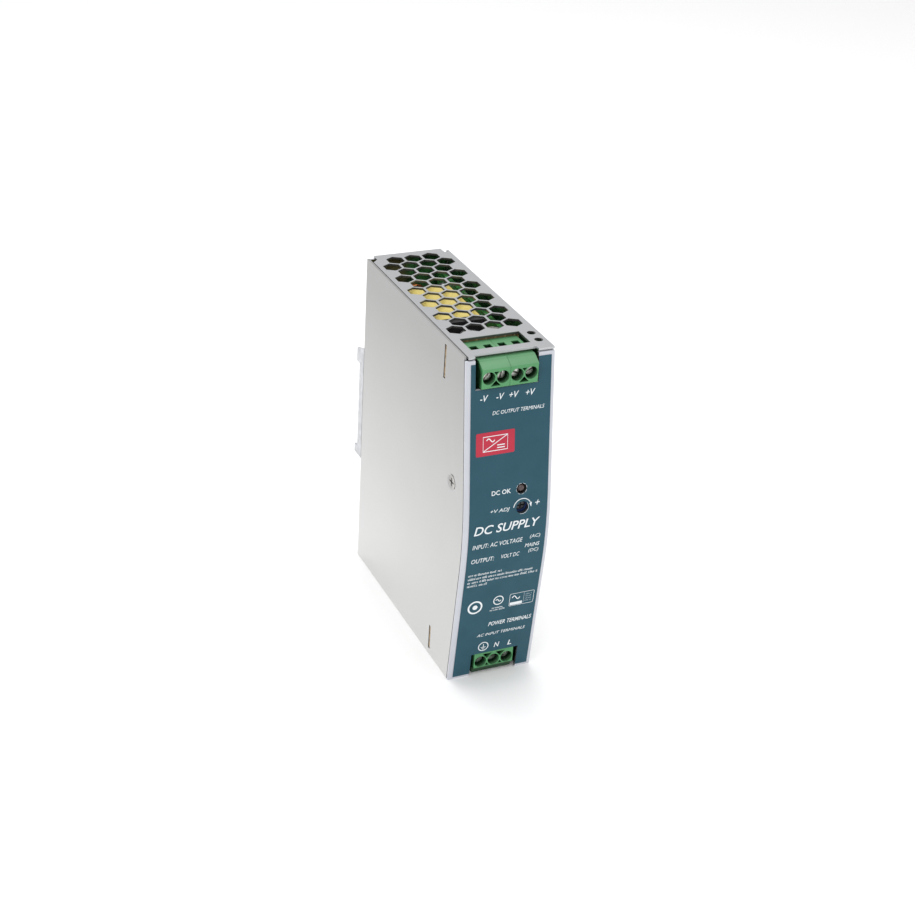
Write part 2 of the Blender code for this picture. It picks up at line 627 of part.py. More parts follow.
def make_controls():
    """Status lamp and trimmer on the control board, both reaching the front panel."""
    lens = material("lamp_green", (0.1, 0.55, 0.2), 0.2)
    blue = material("trimmer_blue", (0.05, 0.12, 0.5), 0.4)
    white = material("trimmer_white", (0.75, 0.75, 0.72), 0.4)
    x, z, _ = LAMP_HOLE
    bm = bmesh.new()
    dome = [(1.5 * cos(t * pi / 10), -48.5 - 1.5 * sin(t * pi / 10)) for t in range(4, -1, -1)]
    turned(bm, "Y", x, z, dome + [(1.5, -46.0), (1.85, -45.9), (1.85, -44.8)], 16)
    shade(add("status_lamp", bm, lens))
    x, z, _ = TRIM_HOLE
    bm = bmesh.new()
    slab(bm, (x - 3.3, x + 3.3), (-48.7, -44.8), (z - 3.3, z + 3.3))
    body = add("trimmer_body", bm, blue)
    bore = bmesh.new()
    rod(bore, "Y", x, z, 2.0, -52, -46.4, 20)
    cut(body, bore, "trimmer_bore_tool")
    bm = bmesh.new()
    turned(bm, "Y", x, z, [(1.5, -48.8), (1.65, -48.65), (1.65, -46.8)], 20)
    rotor = add("trimmer_rotor", bm, white, (x, -48.8, z))
    for name, size in (("trimmer_slot_tool", (1.35, 0.28)), ("trimmer_cross_tool", (0.28, 1.35))):
        slot = bmesh.new()
        slab(slot, (x - size[0], x + size[0]), (-50.5, -48.1), (z - size[1], z + size[1]))
        cut(rotor, slot, name)
    shade(rotor)


# ---------------------------------------------------------------- DIN bracket, latch and spring
def make_bracket():
    look = material("bracket_steel", (0.6, 0.6, 0.6), 0.35, 1.0)
    cheek = [(SIDE_REAR_Y + GAP, 43.1), (REAR_Y, 43.1), (REAR_Y, RAIL_LOW_Z), (SEAT_Y, RAIL_LOW_Z),
             (SEAT_Y, RAIL_TOP_Z), (REAR_Y, RAIL_TOP_Z), (REAR_Y, 87.0), (SIDE_REAR_Y + GAP, 89.3)]
    bm = bmesh.new()
    slab(bm, (-HALF_W, HALF_W), WEB_Y, (43.6, 88.0))
    bracket = add("din_bracket", bm, look)
    for number, x in enumerate(((-HALF_W, -HALF_W + SHEET), (HALF_W - SHEET, HALF_W)), 1):
        side = bmesh.new()
        prism(side, cheek, "X", *x)
        join(bracket, side, "cheek_tool_%d" % number)
    parts = [((-12.5, 12.5), WEB_Y, (8.0, 44.0)),
             ((-10.0, 10.0), (WEB_Y[0] + 0.1, REAR_Y - 0.05), (RAIL_TOP_Z + 0.4, RAIL_TOP_Z + 1.4)),
             ((-10.0, 10.0), (REAR_Y - 1.1, REAR_Y - 0.1), (RAIL_TOP_Z - 1.6, RAIL_TOP_Z + 1.3)),
             ((-1.4, 1.4), (WEB_Y[0] + 0.1, 50.6), (12.6, SPRING_Z[0] - 0.35))]
    for side in (-1, 1):
        outer = sorted((side * GUIDE_X[0], side * GUIDE_X[1]))
        lip = sorted((side * (GUIDE_X[0] - 1.4), side * (GUIDE_X[1] - 0.05)))
        parts.append((outer, (WEB_Y[0] + 0.1, 49.2), (20.0, 39.2)))
        parts.append((lip, (48.5, 49.25), (20.1, 39.1)))
    for number, limits in enumerate(parts, 1):
        piece = bmesh.new()
        slab(piece, *limits)
        join(bracket, piece, "bracket_piece_tool_%d" % number)
    holes = bmesh.new()
    for x, z in RIVETS:
        rod(holes, "Y", x, z, 1.8, WEB_Y[0] - 2, WEB_Y[1] + 1, 12)
    cut(bracket, holes, "bracket_hole_tool")

    rivet_look = material("rivet_steel", (0.55, 0.55, 0.55), 0.35, 1.0)
    for number, (x, z) in enumerate(RIVETS, 1):
        bm = bmesh.new()
        steps = [(2.5, REAR_WALL_Y - SHEET - 1.0), (2.7, REAR_WALL_Y - SHEET - GAP),
                 (1.45, REAR_WALL_Y - SHEET - GAP + 0.02), (1.45, WEB_Y[1] + GAP - 0.02),
                 (2.5, WEB_Y[1] + GAP), (2.2, WEB_Y[1] + 1.0)]
        turned(bm, "Y", x, z, steps, 14)
        shade(add("bracket_rivet_%d" % number, bm, rivet_look))


def make_latch():
    look = material("latch_steel", (0.5, 0.5, 0.52), 0.35, 1.0)
    bm = bmesh.new()
    slab(bm, (-6.9, 6.9), LATCH_Y, (6.0, 44.6))
    latch = add("din_latch", bm, look, (0.0, LATCH_Y[0], RAIL_LOW_Z))
    parts = [((-6.5, 6.5), (LATCH_Y[0] + 0.05, REAR_Y - 0.05), (43.8, 44.7)),
             ((-6.4, 6.4), (49.9, REAR_Y - 0.02), (43.9, RAIL_LOW_Z + 1.8)),
             ((-5.0, 5.0), (LATCH_Y[0] + 0.05, 50.4), (5.9, 6.8))]
    for number, limits in enumerate(parts, 1):
        piece = bmesh.new()
        slab(piece, *limits)
        join(latch, piece, "latch_piece_tool_%d" % number)
    holes = bmesh.new()
    slab(holes, (-2.0, 2.0), (46, 52), (8.2, SPRING_Z[1] + 0.3))
    cut(latch, holes, "latch_window_tool")
    tab = bmesh.new()
    slab(tab, (-1.4, 1.4), (LATCH_Y[0] + 0.05, 50.5), (SPRING_Z[1] + 0.25, SPRING_Z[1] + 1.1))
    join(latch, tab, "latch_tab_tool")


def make_spring():
    """Compression spring behind the web, its wire one closed tube along a helix."""
    look = material("spring_steel", (0.55, 0.55, 0.55), 0.3, 1.0)
    wire, radius, turns, per_turn, sides = 0.22, 1.25, 7, 10, 5
    low, high = SPRING_Z[0] + wire, SPRING_Z[1] - wire
    bm = bmesh.new()
    rows = []
    total = turns * per_turn
    for i in range(total + 1):
        angle = 2 * pi * i / per_turn
        height = low + (high - low) * i / total
        row = []
        for j in range(sides):
            turn = 2 * pi * j / sides
            out = radius + wire * cos(turn)
            y = SPRING_Y + out * sin(angle)
            row.append(bm.verts.new((out * cos(angle), y, height + wire * sin(turn))))
        rows.append(row)
    for lower, upper in zip(rows, rows[1:]):
        for j in range(sides):
            m = (j + 1) % sides
            bm.faces.new((lower[j], upper[j], upper[m], lower[m]))
    bm.faces.new(rows[0])
    bm.faces.new(rows[-1][::-1])
    spring = add("latch_spring", bm, look, (0.0, SPRING_Y, SPRING_Z[0]))
    shade(spring, 60.0)


def main():
    for old in list(bpy.data.objects):
        bpy.data.objects.remove(old, do_unlink=True)
    make_chassis()
    make_side_cover()
    make_side_screws()
    make_front()
    make_terminals()
    make_boards()
    make_components()
    make_controls()
    make_bracket()
    make_latch()
    make_spring()


main()
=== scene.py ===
"""Looks of the DIN rail power supply: finish of every piece, printed front, floor, light and camera."""
from math import cos, pi, radians, sin, sqrt, tan
from random import Random

import bmesh
import bpy
from mathutils import Matrix, Vector


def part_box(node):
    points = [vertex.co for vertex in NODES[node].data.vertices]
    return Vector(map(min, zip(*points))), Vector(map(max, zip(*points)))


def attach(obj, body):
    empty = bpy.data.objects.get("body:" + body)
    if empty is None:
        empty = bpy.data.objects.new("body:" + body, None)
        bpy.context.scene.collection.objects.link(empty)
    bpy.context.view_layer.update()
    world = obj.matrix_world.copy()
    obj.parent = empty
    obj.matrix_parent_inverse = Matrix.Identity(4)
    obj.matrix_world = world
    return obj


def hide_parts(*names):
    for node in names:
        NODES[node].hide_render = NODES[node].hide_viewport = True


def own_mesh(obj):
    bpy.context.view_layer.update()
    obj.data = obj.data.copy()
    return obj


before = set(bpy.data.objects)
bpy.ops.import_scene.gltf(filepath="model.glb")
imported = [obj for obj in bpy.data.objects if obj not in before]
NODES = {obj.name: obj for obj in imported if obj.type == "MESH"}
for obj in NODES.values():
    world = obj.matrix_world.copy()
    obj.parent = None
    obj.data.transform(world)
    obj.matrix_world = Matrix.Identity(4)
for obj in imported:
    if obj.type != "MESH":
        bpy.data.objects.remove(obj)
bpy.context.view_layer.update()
MM = 0.001

# ---------------------------------------------------------------- view and light
CAMERA_AT = (-0.2313, -0.4943, 0.3593)      # metres
AZIMUTH = 25.462                            # degrees
ELEVATION = 28.427
ROLL = 3.586
FOCAL = 67.57                               # millimetres, for a sensor SENSOR wide
SENSOR = 36.0
WORLD_LIGHT = 0.85
KEY_LIGHT = 2.5                             # watts
FILL_LIGHT = 0.8
TOP_LIGHT = 5.6
FLOOR_HALF = 3.0                            # metres
FLOOR_TONE = (0.93, 0.93, 0.93)

# ---------------------------------------------------------------- edges of material masks, millimetres
WALL_IN = 15.23             # painted shade inside the case: just past the inner faces of the walls, from the middle
REAR_IN = 45.25
TOP_IN = 123.95             # painted shade inside ends here, below the top plate
FLOOR_IN = 0.77
HOLE_X = 14.5               # box round the vents, whose walls get the painted shade too
HOLE_Y = (-41.6, 45.0)
HOLE_Z = (0.14, 125.06)
WING_X = 14.8               # the rear wall's flanges get no painted shade where they pass the side walls
WING_Y = 43.95
SEAM_TOP = 123.7            # the painted shade on the cover's seam ends here
NOTCH_HALF = 12.8           # half of a width that holds the terminal notches
SLOPE_TOP = 123.5           # top of the output blocks
MOUTH_TOP = 3.15            # the input block gets painted shade below this, in its wire mouths
OUTPUT_FACE = -46.7         # y of the output blocks' fronts
OUTPUT_SLANT = -167.3       # y - z on the slope of the output blocks
INPUT_FACE = -46.0          # y of the input block's front
LAMP_AT = (4.9, 76.8)       # x, z
TRIMMER_AT = (5.35, 69.8)
FRONT_BORES = ((*LAMP_AT, 1.9), (*TRIMMER_AT, 2.25))     # x, z, radius

# ---------------------------------------------------------------- tones, as linear colour
CASE_TONE = (0.515, 0.525, 0.54)
TOP_SHADE_SHARE = 0.74            # of the tone, on faces that look up: painted shade
# painted shade inside the case: olive tones for the left, green tones for the right, tinted like the parts
# seen through the vents
OLIVE_SHADE_TONES = ((0.075, 0.072, 0.030), (0.150, 0.140, 0.060))
GREEN_SHADE_TONES = ((0.008, 0.042, 0.014), (0.045, 0.190, 0.055))
COVER_TONE = (0.490, 0.490, 0.484)
REFLECTION_FOOT = 1.38           # of the tone, at the foot and at the head of the cover: a painted reflection, lighter low down
REFLECTION_HEAD = 0.74
# painted shade on the cover's front seam and inner face
SEAM_SHADE_TONE = (0.012, 0.014, 0.012)
PANEL_TONE = (0.57, 0.585, 0.637)
LABEL_TONE = (0.020, 0.080, 0.113)
TERMINAL_TONE = (0.080, 0.300, 0.115)
# painted tone for the light on the terminals' faces that look up
TERMINAL_LIT_TOP = (0.094, 0.260, 0.118)
BOARD_TONE = (0.034, 0.150, 0.036)
CONTROL_TONE = (0.020, 0.125, 0.036)
PHENOLIC_TONE = (0.21, 0.145, 0.070)
TAPE_TONE = (0.95, 0.86, 0.32)
WHITE_INK = (0.80, 0.84, 0.86)
RED_INK = (0.48, 0.012, 0.042)
GREY_INK = (0.33, 0.42, 0.47)

# ---------------------------------------------------------------- bent front and its print, millimetres
NOSE_Z = 59.0
NOSE_R = 130.0
LEAN_LOW = radians(5.9)
LEAN_HIGH = radians(6.8)
FRONT_Y = -51.0
INK = 0.03
INK_SUNK = 0.01
WORDS = (                   # words, x from, z, x to, height, slant, weight
    ("DC OUTPUT TERMINALS", -6.4, 104.6, 12.6, 1.3, 0.25, 0.0),
    ("DC OK", -6.2, 75.9, 0.9, 1.65, 0.0, 0.012),
    ("+V ADJ", -6.6, 69.1, 0.6, 1.65, 0.25, 0.0),
    ("+", 10.1, 70.0, 11.9, 1.7, 0.25, 0.0),
    ("DC SUPPLY", -12.3, 61.9, 12.3, 3.3, 0.25, 0.01),
    ("INPUT: AC VOLTAGE", -12.5, 56.5, 6.3, 1.7, 0.2, 0.0),
    ("(AC)", 9.0, 56.9, 12.9, 1.7, 0.2, 0.0),
    ("MAINS", 7.4, 53.8, 12.9, 1.5, 0.2, 0.0),
    ("OUTPUT:", -12.5, 50.8, -4.0, 1.7, 0.2, 0.0),
    ("VOLT DC", -1.3, 50.9, 5.6, 1.6, 0.2, 0.0),
    ("(DC)", 9.0, 51.2, 12.7, 1.7, 0.2, 0.0),
    ("POWER TERMINALS", -2.8, 21.6, 13.9, 1.75, 0.25, 0.008),
    ("AC INPUT TERMINALS", -6.7, 17.4, 12.0, 1.2, 0.25, 0.0),
    ("N", 0.6, 11.3, 2.6, 2.1, 0.2, 0.014),
    ("L", 5.9, 11.1, 7.5, 2.1, 0.2, 0.014),
)
POLES = ((-10.9, "-V"), (-5.1, "-V"), (-0.4, "+V"), (5.6, "+V"))       # x from, words
SMALL_ROWS = ((45.4, 0.0), (43.8, 11.2), (42.3, 13.4), (40.8, -5.5))    # z, x to
EARTH_AT = (-3.6, 12.6)
DOT_AT = (-8.9, 31.3)
WAVE_AT = (-0.1, 32.6)
# strokes of small marks that stand for letters, in a unit square, with a hair's gap between strokes
POST = (0.0, 0.0, 0.26, 1.0)
FAR_POST = (0.74, 0.0, 1.0, 1.0)
HEAD_BAR = (0.28, 0.80, 0.72, 1.0)
FOOT_BAR = (0.28, 0.0, 0.72, 0.20)
MARKS = ((POST,), (POST, FAR_POST, HEAD_BAR), (POST, FAR_POST, FOOT_BAR), (POST, HEAD_BAR, FOOT_BAR),
         (POST, FAR_POST, HEAD_BAR, FOOT_BAR))

SHARP_EDGE = 30.0           # degrees: sharper edges are rounded
WELD_GAP = 0.000002         # metres

# ---------------------------------------------------------------- finer pieces, millimetres
SPRING_WIRE = 0.24          # radius
SPRING_RADIUS = 1.22
SPRING_TURNS = 9
CHOKE_TUBE = 3.0            # radius of the wound ring's section
CHOKE_WIRE = 0.42
CHOKE_TURNS = {"output_choke": 22, "line_choke": 18}
CHIP_ROWS = 5
CHIP_COLUMNS = 13
CHIP_SIZES = ((1.0, 0.55), (0.8, 0.45), (1.5, 0.8))      # half length, half width


# ================================================================ procedural materials
class Mat:
    """A procedural material: a Principled shader and short calls that add nodes to it."""

    def __init__(self, name, colour, roughness, metallic=0.0):
        self.mat = bpy.data.materials.new(name)
        self.mat.use_nodes = True
        self.tree = self.mat.node_tree
        self.shader = self.tree.nodes["Principled BSDF"]
        self.set("Base Color", (*colour, 1.0))
        self.set("Roughness", roughness)
        self.set("Metallic", metallic)
        self.place = self.tree.nodes.new("ShaderNodeTexCoord").outputs["Object"]
        self.height = None

    def set(self, socket, value):
        self.shader.inputs[socket].default_value = value

    def node(self, kind, **values):
        made = self.tree.nodes.new(kind)
        for key, value in values.items():
            setattr(made, key, value)
        return made

    def link(self, out, into):
        self.tree.links.new(out, into)

    def put(self, value, socket):
        if isinstance(value, (int, float)):
            socket.default_value = value
        elif isinstance(value, tuple):
            socket.default_value = (*value, 1.0)[:len(socket.default_value)]
        else:
            self.link(value, socket)

    def stretched(self, scale):
        mapping = self.node("ShaderNodeMapping")
        mapping.inputs["Scale"].default_value = scale
        self.link(self.place, mapping.inputs["Vector"])
        return mapping.outputs["Vector"]

    def noise(self, scale, detail=3.0, stretch=(1, 1, 1), rough=0.5):
        made = self.node("ShaderNodeTexNoise")
        made.inputs["Scale"].default_value = scale
        made.inputs["Detail"].default_value = detail
        made.inputs["Roughness"].default_value = rough
        self.link(self.stretched(stretch), made.inputs["Vector"])
        return made.outputs["Fac"]

    def cells(self, scale):
        made = self.node("ShaderNodeTexVoronoi")
        made.inputs["Scale"].default_value = scale
        self.link(self.place, made.inputs["Vector"])
        return made.outputs["Distance"]

    def bricks(self, first, second, scale, mortar, width=0.5, height=0.25):
        """Rows of rectangles in the plane of two axes: 1 in the joints between them."""
        flat = self.node("ShaderNodeCombineXYZ")
        self.link(self.along(first), flat.inputs[0])
        self.link(self.along(second), flat.inputs[1])
        made = self.node("ShaderNodeTexBrick")
        for socket, value in (("Scale", scale), ("Mortar Size", mortar), ("Brick Width", width),
                              ("Row Height", height)):
            made.inputs[socket].default_value = value
        self.link(flat.outputs[0], made.inputs["Vector"])
        return made.outputs["Fac"]

    def maths(self, operation, first, second):
        made = self.node("ShaderNodeMath", operation=operation)
        self.put(first, made.inputs[0])
        self.put(second, made.inputs[1])
        return made.outputs[0]

    def along(self, axis, facing=False):
        """One coordinate of the place, in metres, or of the way the surface faces."""
        split = self.node("ShaderNodeSeparateXYZ")
        source = self.node("ShaderNodeNewGeometry").outputs["Normal"] if facing else self.place
        self.link(source, split.inputs[0])
        return split.outputs[axis]

    def from_line(self, axis, centre):
        """Distance in metres from a line along an axis through a point in millimetres."""
        keep = [0.0 if i == axis else 1.0 for i in range(3)]
        made = self.node("ShaderNodeVectorMath", operation="DISTANCE")
        self.link(self.stretched(keep), made.inputs[0])
        made.inputs[1].default_value = [value * MM * share for value, share in zip(centre, keep)]
        return made.outputs["Value"]

    def over(self, source, edge, soft=0.02):
        """1 where a length is over an edge in millimetres, 0 where it is under it."""
        return self.span(source, 0.0, 1.0, (edge - soft) * MM, (edge + soft) * MM)

    def under(self, source, edge, soft=0.02):
        return self.span(source, 1.0, 0.0, (edge - soft) * MM, (edge + soft) * MM)

    def both(self, first, *more):
        for other in more:
            first = self.maths("MULTIPLY", first, other)
        return first

    def span(self, source, low, high, from_low=0.0, from_high=1.0):
        made = self.node("ShaderNodeMapRange")
        limits = (("From Min", from_low), ("From Max", from_high), ("To Min", low), ("To Max", high))
        for socket, value in limits:
            made.inputs[socket].default_value = value
        self.link(source, made.inputs["Value"])
        return made.outputs["Result"]

    def mix(self, factor, first, second):
        made = self.node("ShaderNodeMix", data_type="RGBA")
        for socket, value in ((0, factor), (6, first), (7, second)):
            self.put(value, made.inputs[socket])
        return made.outputs[2]

    def colour(self, source):
        self.link(source, self.shader.inputs["Base Color"])

    def rough(self, source):
        self.link(source, self.shader.inputs["Roughness"])

    def bump(self, source, strength, distance):
        made = self.node("ShaderNodeBump")
        made.inputs["Strength"].default_value = strength
        made.inputs["Distance"].default_value = distance
        self.link(source, made.inputs["Height"])
        if self.height is not None:
            self.link(self.height, made.inputs["Normal"])
        self.height = made.outputs["Normal"]
        self.link(self.height, self.shader.inputs["Normal"])


def shaded(tone, share):
    return tuple(min(channel * share, 1.0) for channel in tone)


def sheet_metal(name, tone, roughness, metallic, grain):
    """Satin sheet: fine grain along one axis, soft clouds and small specks."""
    made = Mat(name, tone, roughness, metallic)
    lines = made.noise(1500, 4, grain, 0.6)
    clouds = made.noise(38, 3)
    specks = made.noise(5200, 2)
    base = made.mix(made.span(clouds, 0.0, 1.0, 0.3, 0.7), tone, shaded(tone, 0.95))
    base = made.mix(made.span(lines, 0.0, 1.0, 0.3, 0.75), base, shaded(tone, 1.06))
    made.base = made.mix(made.span(specks, 0.0, 0.5, 0.55, 0.75), base, shaded(tone, 0.8))
    made.colour(made.base)
    made.rough(made.span(lines, roughness - 0.05, roughness + 0.10, 0.3, 0.7))
    made.bump(lines, 0.12, 0.00002)
    made.bump(specks, 0.10, 0.00001)
    return made


def moulded(name, tone, roughness, dark=0.85, light=1.12):
    """Moulded plastic: faint flow mottling and a fine eroded texture."""
    made = Mat(name, tone, roughness)
    clouds = made.noise(160, 4)
    base = made.mix(made.span(clouds, 0.0, 1.0, 0.3, 0.7), tone, shaded(tone, dark))
    specks = made.noise(4200, 2)
    made.base = made.mix(made.span(specks, 0.0, 0.6, 0.5, 0.75), base, shaded(tone, light))
    made.colour(made.base)
    made.rough(made.span(clouds, roughness - 0.06, roughness + 0.08, 0.3, 0.7))
    made.bump(specks, 0.18, 0.00002)
    return made


def plated(name, tone, roughness, dark=0.7):
    """Plated metal: cloudy plating, fine scratches and darker pits."""
    made = Mat(name, tone, roughness, 1.0)
    clouds = made.noise(420, 5, rough=0.6)
    pits = made.cells(1600)
    base = made.mix(made.span(clouds, 0.0, 1.0, 0.35, 0.65), tone, shaded(tone, dark))
    made.base = made.mix(made.span(pits, 0.35, 0.0, 0.0, 0.25), base, shaded(tone, 0.4))
    made.colour(made.base)
    made.rough(made.span(clouds, roughness - 0.08, roughness + 0.14, 0.3, 0.7))
    made.bump(made.noise(900, 3, (1, 12, 1)), 0.2, 0.00002)
    return made


def two_metals(made, share, metal_share):
    """Lets a mask set where a material is metal."""
    made.link(made.maths("MULTIPLY", share, metal_share), made.shader.inputs["Metallic"])


def case_metal():
    """Chassis sheet: bare outside, with painted shade inside, tinted olive to the left and green to the
    right, and painted shade on faces that look up.
    """
    made = sheet_metal("case_sheet", CASE_TONE, 0.38, 0.75, (1, 10, 10))
    x, y, z = (made.along(i) for i in range(3))
    aside = made.maths("ABSOLUTE", x, 0.0)
    # painted shade on the inner faces of the walls and on the walls of the vents
    inside = made.both(made.under(aside, WALL_IN), made.under(y, REAR_IN), made.under(z, TOP_IN),
                       made.over(z, FLOOR_IN))
    wing = made.both(made.over(aside, WING_X), made.over(y, WING_Y))
    inside = made.both(inside, made.maths("SUBTRACT", 1.0, wing))
    holes = made.both(made.under(aside, HOLE_X), made.under(y, HOLE_Y[1]), made.over(y, HOLE_Y[0]),
                      made.under(z, HOLE_Z[1]), made.over(z, HOLE_Z[0]))
    shade_mask = made.maths("MAXIMUM", inside, holes)
    # painted shade tones, olive on the left and green on the right
    olive_shade = made.mix(made.span(made.noise(260, 4), 0.0, 1.0, 0.35, 0.65), *OLIVE_SHADE_TONES)
    green_shade = made.mix(made.span(made.noise(180, 3), 0.0, 1.0, 0.4, 0.6), *GREEN_SHADE_TONES)
    shade_tone = made.mix(made.under(x, 0.0, 2.0), green_shade, olive_shade)
    # near-black painted shade on the underside of the top plate and the walls of its vents
    shade_tone = made.mix(made.over(z, 123.9), shade_tone, (0.05, 0.05, 0.048))
    # painted shade: faces that look up get a darker share of the tone
    upward = made.span(made.along(2, True), 0.0, 1.0, 0.3, 0.8)
    painted_top_shade = made.mix(upward, made.base, shaded(CASE_TONE, TOP_SHADE_SHARE))
    grained = made.mix(0.25, painted_top_shade, made.base)
    made.colour(made.mix(shade_mask, grained, shade_tone))
    two_metals(made, made.maths("SUBTRACT", 1.0, shade_mask), 0.75)
    return made


def cover_metal():
    """Side sheet: satin skin with a painted reflection that lightens it towards its foot, and painted shade
    on its inner face and front seam.
    """
    made = sheet_metal("cover_sheet", COVER_TONE, 0.30, 0.85, (1, 1, 12))
    x, z = made.along(0), made.along(2)
    # painted reflection: the tone is scaled by a share that falls from the foot to the head
    height = made.span(z, REFLECTION_FOOT, REFLECTION_HEAD, 0.0, 0.118)
    grey = made.node("ShaderNodeCombineColor")
    for socket in grey.inputs[:3]:
        made.link(height, socket)
    painted_reflection = made.node("ShaderNodeMix", data_type="RGBA", blend_type="MULTIPLY")
    painted_reflection.inputs[0].default_value = 1.0
    made.link(made.base, painted_reflection.inputs[6])
    made.link(grey.outputs[0], painted_reflection.inputs[7])
    # painted shade on the cover's front seam below SEAM_TOP and on its inner face
    seam = made.both(made.span(made.along(1, True), 1.0, 0.0, -0.5, -0.2), made.under(z, SEAM_TOP))
    inside = made.maths("MAXIMUM", made.over(x, -WALL_IN), seam)
    made.colour(made.mix(inside, painted_reflection.outputs[2], SEAM_SHADE_TONE))
    two_metals(made, made.maths("SUBTRACT", 1.0, inside), 0.85)
    return made


def panel_paint():
    """Smooth grey paint outside; painted shade on the seam, the notch sides and the hole sides."""
    made = moulded("panel_paint", PANEL_TONE, 0.40, 0.96, 1.03)
    # painted shade on faces that look back, on the notch sides and on the sides of the two holes
    behind = made.span(made.along(1, True), 0.0, 1.0, 0.2, 0.5)
    sideways = made.span(made.maths("ABSOLUTE", made.along(0, True), 0.0), 0.0, 1.0, 0.6, 0.8)
    notch = made.both(sideways, made.under(made.maths("ABSOLUTE", made.along(0), 0.0), NOTCH_HALF))
    bores = [made.under(made.from_line(1, (x, 0.0, z)), radius + 0.04) for x, z, radius in FRONT_BORES]
    painted_shade_parts = made.maths("MAXIMUM", made.maths("MAXIMUM", behind, notch), made.maths("MAXIMUM", *bores))
    made.colour(made.mix(painted_shade_parts, made.base, (0.035, 0.037, 0.040)))
    return made


def terminal_plastic(name, front, slant=None):
    """Green housing with painted shade that deepens behind its front, in its wells and mouths, and a painted
    tone for the light on faces that look up.
    """
    made = moulded(name, TERMINAL_TONE, 0.42, 0.88, 1.08)
    y, z = made.along(1), made.along(2)
    # painted shade deepens with depth behind the front, behind the slope and below its top
    depth = made.maths("SUBTRACT", y, front * MM)
    if slant is not None:
        lean = made.maths("SUBTRACT", made.maths("SUBTRACT", y, z), slant * MM)
        depth = made.maths("MINIMUM", depth, made.maths("MULTIPLY", lean, 0.707))
        sunk = made.maths("MULTIPLY", made.maths("SUBTRACT", SLOPE_TOP * MM, z), 3.0)
        depth = made.maths("MINIMUM", depth, sunk)
    # painted tone for the light on faces that look up
    upward = made.span(made.along(2, True), 0.0, 1.0, 0.2, 0.6)
    clouds = made.span(made.noise(160, 4), 0.0, 1.0, 0.3, 0.7)
    made.base = made.mix(upward, made.base, made.mix(clouds, TERMINAL_LIT_TOP, shaded(TERMINAL_LIT_TOP, 0.9)))
    # two steps of painted shade, shallow and deep
    shallow_shade = made.span(depth, 0.0, 0.70, 0.00012, 0.00045)
    deep_shade = made.span(depth, 0.0, 1.0, 0.0004, 0.0018)
    base = made.mix(shallow_shade, made.base, (0.040, 0.165, 0.058))
    base = made.mix(deep_shade, base, (0.006, 0.030, 0.010))
    if slant is None:
        # painted shade in the wire mouths of the input block
        base = made.mix(made.under(z, MOUTH_TOP, 0.1), base, (0.010, 0.050, 0.016))
    made.colour(base)
    return made


def board(name, tone, first, second):
    """Circuit board: solder mask over copper tracks, with groups of tinned pads."""
    made = moulded(name, tone, 0.35, 0.9)
    tracks = made.bricks(first, second, 260, 0.10, 0.9, 0.42)
    pads = made.cells(330)
    base = made.mix(made.maths("MULTIPLY", tracks, 0.55), made.base, shaded(tone, 2.3))
    patches = made.span(made.noise(70, 1), 0.0, 1.0, 0.50, 0.53)
    tinned = made.both(made.span(pads, 1.0, 0.0, 0.16, 0.20), patches)
    made.colour(made.mix(tinned, base, (0.55, 0.55, 0.53)))
    two_metals(made, tinned, 0.9)
    made.bump(tracks, 0.3, 0.00003)
    return made


def tape():
    """Yellow tape in overlapping turns, darker where the turns beneath show through."""
    made = moulded("tape_yellow", TAPE_TONE, 0.28, 0.92)
    turns = made.bricks(1, 2, 95, 0.035, 3.0, 0.34)
    clouds = made.span(made.noise(120, 3), 0.0, 1.0, 0.35, 0.65)
    base = made.mix(clouds, (0.98, 0.94, 0.55), (0.95, 0.88, 0.42))
    made.colour(made.mix(turns, base, (0.66, 0.53, 0.14)))
    made.bump(turns, 0.5, 0.00006)
    return made


def sleeve(name, axis, centre, radius, end, way):
    """Capacitor sleeve over a can whose bare, scored end shows."""
    made = moulded(name, (0.012, 0.012, 0.016), 0.24)
    reach = made.from_line(axis, centre)
    length = made.along(axis)
    beyond = made.over(length, end - 0.45) if way > 0 else made.under(length, end + 0.45)
    bare = made.both(beyond, made.under(reach, radius - 1.1))
    cross = [made.maths("ABSOLUTE", made.maths("SUBTRACT", made.along(i), centre[i] * MM), 0.0)
             for i in range(3) if i != axis]
    scores = made.under(made.maths("MINIMUM", *cross), 0.14)
    aside = made.maths("ABSOLUTE", made.maths("SUBTRACT", made.along(0), centre[0] * MM), 0.0)
    stripe = made.under(aside, 1.1)
    base = made.mix(stripe, made.base, (0.30, 0.29, 0.25))
    metal = made.mix(scores, (0.62, 0.61, 0.58), (0.18, 0.18, 0.18))
    made.colour(made.mix(bare, base, metal))
    two_metals(made, bare, 0.9)
    return made


def ceramic_fuse():
    """Pale ceramic tube with a plated cap at each end."""
    made = moulded("fuse_ceramic", (0.66, 0.62, 0.50), 0.35)
    y = made.along(1)
    middle = made.maths("ABSOLUTE", made.maths("SUBTRACT", y, -14.5 * MM), 0.0)
    cap = made.over(middle, 4.98)
    made.colour(made.mix(cap, made.base, (0.60, 0.59, 0.56)))
    two_metals(made, cap, 0.95)
    return made


ENAMEL = plated("enamelled_copper", (0.50, 0.20, 0.07), 0.30)
CORE_COAT = moulded("core_coat", (0.02, 0.06, 0.035), 0.45)
PACKAGE = moulded("package_black", (0.018, 0.018, 0.019), 0.42)


def give(names, made):
    """Puts one material on pieces of the frame."""
    for name in names:
        target = NODES[name]
        target.data.materials.clear()
        target.data.materials.append(made.mat)


